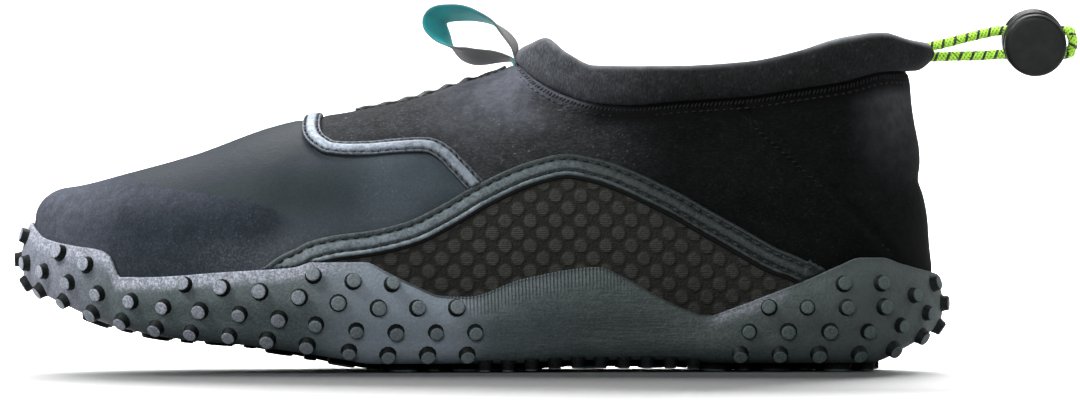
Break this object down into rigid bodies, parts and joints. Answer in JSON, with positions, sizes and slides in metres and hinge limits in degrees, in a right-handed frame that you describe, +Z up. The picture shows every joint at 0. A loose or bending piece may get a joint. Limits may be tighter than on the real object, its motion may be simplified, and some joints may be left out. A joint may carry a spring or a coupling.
{
  "type": "water shoe",
  "caption": "Low slip-on water shoe: neoprene upper, studded wavy rubber cup sole, mesh side panels, pull loop and a drawcord with a push-button cord lock at the heel.",
  "frame": {"origin": "on the ground under the middle of the shoe, measured without the drawcord and its lock", "axes": "+X from toe to heel, +Z up, -Y towards the lateral (outer) side of this left shoe"},
  "size_m": [0.3127, 0.1048, 0.1083],
  "materials": {
    "outsole_rubber": "matte grey-green, fine grain",
    "neoprene": "matte black knit",
    "insole_foam": "matte dark fabric on foam",
    "trim": "satin moulded film, grey-green",
    "air_mesh": "dark open knit with paler dots",
    "ribbon": "woven ribbon, grey outside and teal inside",
    "elastic_cord": "green braid with black flecks",
    "lock_plastic": "satin black"
  },
  "bodies": {
    "shoe": {"outsole": "outsole_rubber", "upper": "neoprene", "insole": "insole_foam", "collar_band": "neoprene", "vamp_trim": "trim", "arch_trim_lateral": "trim", "arch_trim_medial": "trim", "mesh_panel_lateral": "air_mesh", "mesh_panel_medial": "air_mesh", "instep_seam": "trim", "pull_loop": "ribbon", "drawcord": "elastic_cord", "cord_lock_body": "lock_plastic"},
    "button": {"cord_lock_button": "lock_plastic"}
  },
  "joints": [
    {"name": "lock_press", "type": "slide", "parent": "shoe", "child": "button", "axis": [0, 0.9903, 0.1392], "range_m": [0, 0.0025], "stiffness_N_per_m": 300, "springref_m": -0.004}
  ]
}
